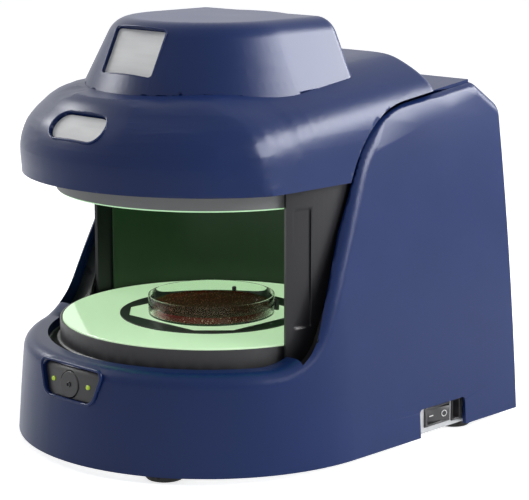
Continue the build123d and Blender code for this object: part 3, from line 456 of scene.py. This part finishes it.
# ---------------------------------------------------------------- ring light
# A grey ring under the hood holds a ring of green lamps behind an opal diffuser. A thin glowing ring along
# its lower edge is painted light, standing for the bright line of light that leaks there.
ring_grey = (0.20, 0.205, 0.205)
ring_opal, ring_glow, ring_strength = (0.5, 0.8, 0.5), (0.20, 0.9, 0.22, 1), 5.0
leak_line_base, leak_line_glow, leak_line_strength = (0.5, 0.7, 0.5), (0.45, 0.80, 0.42, 1), 0.55
edge_radius, edge_thickness, edge_height = 0.1066, 0.0007, 0.1768
soft_grey = grained("soft_grey", ring_grey, 0.5, grain=0.05)
ring_light = glowing("ring_light", ring_opal, ring_glow, ring_strength)
smoothed("lamp_ring", "lamp_housing", "housing", soft_grey)
smoothed("lamp_collar", "lamp_inner_ring", "housing", soft_grey)
smoothed("lamp_diffuser", "ring_diffuser", "housing", ring_light)
clothe("lamp_leds", green_led)
clothe("lamp_board", circuit_green)

# Painted light: this glowing torus is no part of the lamp; it only draws the bright leak line.
bpy.ops.object.select_all(action="DESELECT")
bpy.ops.mesh.primitive_torus_add(
    major_radius=edge_radius, minor_radius=edge_thickness, major_segments=160, minor_segments=8,
    location=(0, chamber_y, edge_height),
)
lit_edge = bpy.context.object
lit_edge.name = "lit_edge"
bpy.ops.object.transform_apply(location=True, rotation=True, scale=True)
bpy.ops.object.shade_smooth()
lit_edge.data.materials.append(glowing("lit_edge", leak_line_base, leak_line_glow, leak_line_strength))
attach(lit_edge, "housing")

# ---------------------------------------------------------------- hood
# A domed front on a falling arch, one navy moulding over a flat black ceiling. The two forms run
# into each other with a soft shoulder, which is eased here on the sliced copy.
badge_lean = math.radians(43)
badge_centre = Vector((0, -0.1415, 0.230))
badge_up = Vector((0, math.sin(badge_lean), math.cos(badge_lean)))
badge_cut_across, badge_cut_up = 0.0268, 0.0118
hood_cut_depths = range(-132, 60, 8)
hood_cut_rises = (3, 10, 18, 26, 34, 42, 50)
hood_low = 0.1897
rim_band, rim_edge = 0.012, 0.001
hood_fall = math.radians(5.15)
fall_line = Vector((0, -math.cos(hood_fall), -math.sin(hood_fall)))
arch_slope, dome_slope = 0.03, 0.06
crown_half_width = 0.03
turret_foot = 0.094
badge_surround = 0.042
shoulder_passes = ((0.048, 3), (0.042, 6), (0.036, 12), (0.030, 50))
kept_still = 1.0

hood_cuts = [((0, y / 1000, 0), (0, 1, 0)) for y in hood_cut_depths]
hood_cuts += [((0, 0, hood_low + rise / 1000), (0, 0, 1)) for rise in hood_cut_rises]
hood_cuts += paired_cuts(Vector((0, 0, 0)), Vector((1, 0, 0)), badge_cut_across)
hood_cuts += paired_cuts(badge_centre, badge_up, badge_cut_up)
hood_shell = smoothed("hood", "hood_shell", "housing", navy_plastic, cuts=hood_cuts)
smoothed("hood_underside", "hood_ceiling", "housing", black_plastic)
bpy.ops.object.select_all(action="DESELECT")
hood_shell.select_set(True)
bpy.context.view_layer.objects.active = hood_shell


def nearest_of(points):
    """Search tree over a list of points."""
    tree = KDTree(len(points))
    for number, point in enumerate(points):
        tree.insert(point, number)
    tree.balance()
    return tree


def on_ridge(faces, middle):
    """Whether an edge lies where the dome crosses the arch, off the crown and above the rim."""
    along = sorted(abs(face.normal.dot(fall_line)) for face in faces)
    crosses = along[0] < arch_slope and along[1] > dome_slope
    in_front = middle.y < chamber_y and abs(middle.x) > crown_half_width
    return crosses and in_front and middle.z > hood_low + 2 * rim_edge


faces_at = {}
for face in hood_shell.data.polygons:
    for key in face.edge_keys:
        faces_at.setdefault(key, []).append(face)
before = [vertex.co.copy() for vertex in hood_shell.data.vertices]
ridge = []
for (start, end), faces in faces_at.items():
    middle = (before[start] + before[end]) / 2
    if len(faces) == 2 and on_ridge(faces, middle):
        ridge.append(middle)
ridge_tree = nearest_of(ridge)
from_ridge = []
for spot in before:
    beside_turret = math.hypot(spot.x, spot.y - chamber_y) > turret_foot
    beside_badge = (spot - badge_centre).length > badge_surround
    from_ridge.append(ridge_tree.find(spot)[2] if beside_turret and beside_badge else kept_still)

for reach, passes in shoulder_passes:
    for part in list(hood_shell.data.edges) + list(hood_shell.data.polygons):
        part.select = False
    for vertex, spot, distance in zip(hood_shell.data.vertices, before, from_ridge):
        vertex.select = distance < reach and spot.z > hood_low + rim_edge
    bpy.ops.object.mode_set(mode="EDIT")
    bpy.ops.mesh.select_mode(type="VERT")
    bpy.ops.mesh.vertices_smooth(factor=0.5, repeat=passes)
    bpy.ops.object.mode_set(mode="OBJECT")

# The rim follows the wall just above it.
band = []
for spot, vertex in zip(before, hood_shell.data.vertices):
    if vertex.co != spot and spot.z < hood_low + rim_band:
        band.append((spot, vertex.co - spot))
band_tree = nearest_of([(spot.x, spot.y, 0) for spot, shift in band])
for vertex, spot, distance in zip(hood_shell.data.vertices, before, from_ridge):
    if distance < shoulder_passes[0][0] and spot.z <= hood_low + rim_edge:
        shift = band[band_tree.find((spot.x, spot.y, 0))[1]][1]
        vertex.co = spot + Vector((shift.x, shift.y, 0))
even_shading(hood_shell, 40, lead=50)

# ---------------------------------------------------------------- badge plate
# A blank oval plate of pale brushed sheet lies glued in a pocket on the hood's front, inside a
# raised navy lip that belongs to the moulding.
plate_colour = (0.86, 0.855, 0.84)
badge_out = Vector((0, -math.cos(badge_lean), math.sin(badge_lean)))
badge_lip_half, badge_lip_round, badge_lip_thickness = (0.0262, 0.0112), 0.0108, 0.0008
badge_lip_place = badge_centre + badge_out * 0.0016
badge_curve_across, badge_curve_up = 0.166, 0.040


def lip(name, body, half_sizes, corner_round, thickness, centre, lean, across=0, up=0):
    """Raised navy edge along an outline with round corners, on a leaning surface.

    The half sizes are a width and a height, below and then above the centre. `across` and `up`
    are the surface's radii of curvature there, 0 where it is flat."""
    bpy.ops.object.select_all(action="DESELECT")
    bpy.ops.mesh.primitive_plane_add(size=2)
    edge = bpy.context.object
    edge.name = name
    for vertex in edge.data.vertices:
        half_width, half_rise = half_sizes[vertex.co.y > 0]
        vertex.co = (math.copysign(half_width, vertex.co.x), math.copysign(half_rise, vertex.co.y), 0)
    bpy.ops.object.mode_set(mode="EDIT")
    bpy.ops.mesh.select_all(action="SELECT")
    bpy.ops.mesh.bevel(offset=corner_round, segments=10, affect="VERTICES")
    bpy.ops.mesh.select_all(action="SELECT")
    bpy.ops.mesh.delete(type="ONLY_FACE")
    bpy.ops.mesh.select_all(action="SELECT")
    bpy.ops.mesh.subdivide(number_cuts=3)
    bpy.ops.object.mode_set(mode="OBJECT")
    for vertex in edge.data.vertices:
        fall_across = vertex.co.x ** 2 / (2 * across) if across else 0
        fall_up = vertex.co.y ** 2 / (2 * up) if up else 0
        vertex.co.z = -(fall_across + fall_up)
    bpy.ops.object.convert(target="CURVE")
    edge = bpy.context.object
    edge.data.bevel_depth = thickness
    edge.data.bevel_resolution = 3
    bpy.ops.object.convert(target="MESH")
    edge = bpy.context.object
    edge.rotation_euler = (math.pi / 2 - lean, 0, 0)
    edge.location = centre
    bpy.ops.object.transform_apply(location=True, rotation=True, scale=True)
    bpy.ops.object.shade_smooth()
    edge.data.materials.append(navy_plastic)
    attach(edge, body)


plate_finish = brushed("brushed_plate", plate_colour, 0.5, along=(0.05, 1, 1), metallic=0.0, specular=0.25)
clothe("name_plate", plate_finish)
lip(
    "badge_lip", "housing", (badge_lip_half, badge_lip_half), badge_lip_round,
    badge_lip_thickness, badge_lip_place, badge_lean, badge_curve_across, badge_curve_up,
)

# ---------------------------------------------------------------- turret
# A truncated cone over the camera, cut off flat at the rear, moulded in the same navy plastic
# and screwed down on the hood from inside.
turret_lean = math.radians(26.4)
window_centre = Vector((0, chamber_y - 0.0743, 0.2765))
window_up = Vector((0, math.sin(turret_lean), math.cos(turret_lean)))
window_cut_across, window_cut_up = 0.0252, 0.0178
turret_heights = (246, 250, 253, 256, 266, 276, 286, 291)
turret_cuts = level_cuts(turret_heights)
turret_cuts += paired_cuts(Vector((0, 0, 0)), Vector((1, 0, 0)), window_cut_across)
turret_cuts += paired_cuts(window_centre, window_up, window_cut_up)
smoothed("turret", "turret_shell", "housing", navy_plastic, crease=50, cuts=turret_cuts)

# ---------------------------------------------------------------- turret plate
# A blank square plate of the same brushed sheet, glued in a deeper pocket on the turret's front
# behind a thin navy lip.
window_out = Vector((0, -math.cos(turret_lean), math.sin(turret_lean)))
window_lip_half, window_lip_round, window_lip_thickness = (0.0247, 0.0172), 0.003, 0.0006
window_lip_place = window_centre - window_out * 0.0002
window_curve = 0.083
clothe("turret_plate", plate_finish)
lip(
    "window_lip", "housing", (window_lip_half, window_lip_half), window_lip_round,
    window_lip_thickness, window_lip_place, turret_lean, window_curve,
)

# ---------------------------------------------------------------- rear deck
# A separate cover in the same navy plastic closes the housing's top behind the hood. A tongue
# along its rear edge hooks under the shell.
smoothed("deck_panel", "deck_cover", "housing", navy_plastic)

# ---------------------------------------------------------------- control panel
# A black fascia with a round start key and two green lamps, let into the housing's front inside
# a raised navy lip. The key carries a small moulded ring.
panel_lean = math.radians(8)
panel_centre = Vector((0, -0.1526, 0.0588))
panel_out = Vector((0, -math.cos(panel_lean), math.sin(panel_lean)))
panel_lip_low, panel_lip_high = (0.0236, 0.0121), (0.0318, 0.0121)
panel_lip_round, panel_lip_thickness = 0.0062, 0.0011
panel_lip_place = panel_centre - panel_out * 0.0002
key_mark_radius, key_mark_thickness = 0.0015, 0.0004
key_drop, key_rise = Vector((0, 0, 0.0015)), 0.0011
smoothed("control_fascia", "panel_fascia", "housing", black_plastic)
smoothed("start_button", "start_key", "button", black_plastic)
smoothed("panel_leds", "panel_lamps", "housing", green_led)
clothe("button_board", circuit_green)
lip(
    "panel_lip", "housing", (panel_lip_low, panel_lip_high), panel_lip_round,
    panel_lip_thickness, panel_lip_place, panel_lean,
)
bpy.ops.object.select_all(action="DESELECT")
bpy.ops.mesh.primitive_torus_add(
    major_radius=key_mark_radius, minor_radius=key_mark_thickness, major_segments=24, minor_segments=8,
    location=panel_centre + panel_out * key_rise - key_drop, rotation=(math.pi / 2 - panel_lean, 0, 0),
)
key_mark = bpy.context.object
key_mark.name = "key_mark"
bpy.ops.object.transform_apply(location=True, rotation=True, scale=True)
bpy.ops.object.shade_smooth()
key_mark.data.materials.append(black_plastic)
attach(key_mark, "button")

# ---------------------------------------------------------------- mains switch and inlet
# A steel sheet behind a notch in the right side wall holds the rocker switch and the mains inlet
# with its brass contacts. The rocker's marks are printed in white, a bar for on, a ring for off.
brass_colour = (0.72, 0.55, 0.24)
mark_colour = (0.75, 0.75, 0.74)
mark_height = 0.016
ring_place, ring_turn = (0.13345, 0.0795, mark_height), math.radians(-14.5)
ring_mark_radius, ring_mark_thickness = 0.0021, 0.00032
bar_place, bar_size = (0.13163, 0.0675, mark_height), (0.0002, 0.0042, 0.0007)
clothe("switch_bracket", sheet_steel)
smoothed("switch_housing", "switch_case", "housing", black_plastic)
smoothed("power_rocker", "rocker", "rocker", black_plastic)
smoothed("power_inlet", "inlet_case", "housing", black_plastic)
clothe("inlet_contacts", brushed("brass", brass_colour, 0.3))

mark_white = grained("mark_white", mark_colour, 0.45, grain=0.02, mottle=0.04)
bpy.ops.object.select_all(action="DESELECT")
bpy.ops.mesh.primitive_torus_add(
    major_radius=ring_mark_radius, minor_radius=ring_mark_thickness, major_segments=40, minor_segments=6,
    location=ring_place, rotation=(0, math.pi / 2, ring_turn),
)
off_ring = bpy.context.object
off_ring.name = "off_ring"
bpy.ops.object.transform_apply(location=True, rotation=True, scale=True)
bpy.ops.object.shade_smooth()
bpy.ops.object.select_all(action="DESELECT")
bpy.ops.mesh.primitive_cube_add(size=1, location=bar_place)
on_bar = bpy.context.object
on_bar.name = "on_bar"
on_bar.scale = bar_size
bpy.ops.object.transform_apply(location=True, rotation=True, scale=True)
for printed in (off_ring, on_bar):
    printed.data.materials.append(mark_white)
    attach(printed, "rocker")
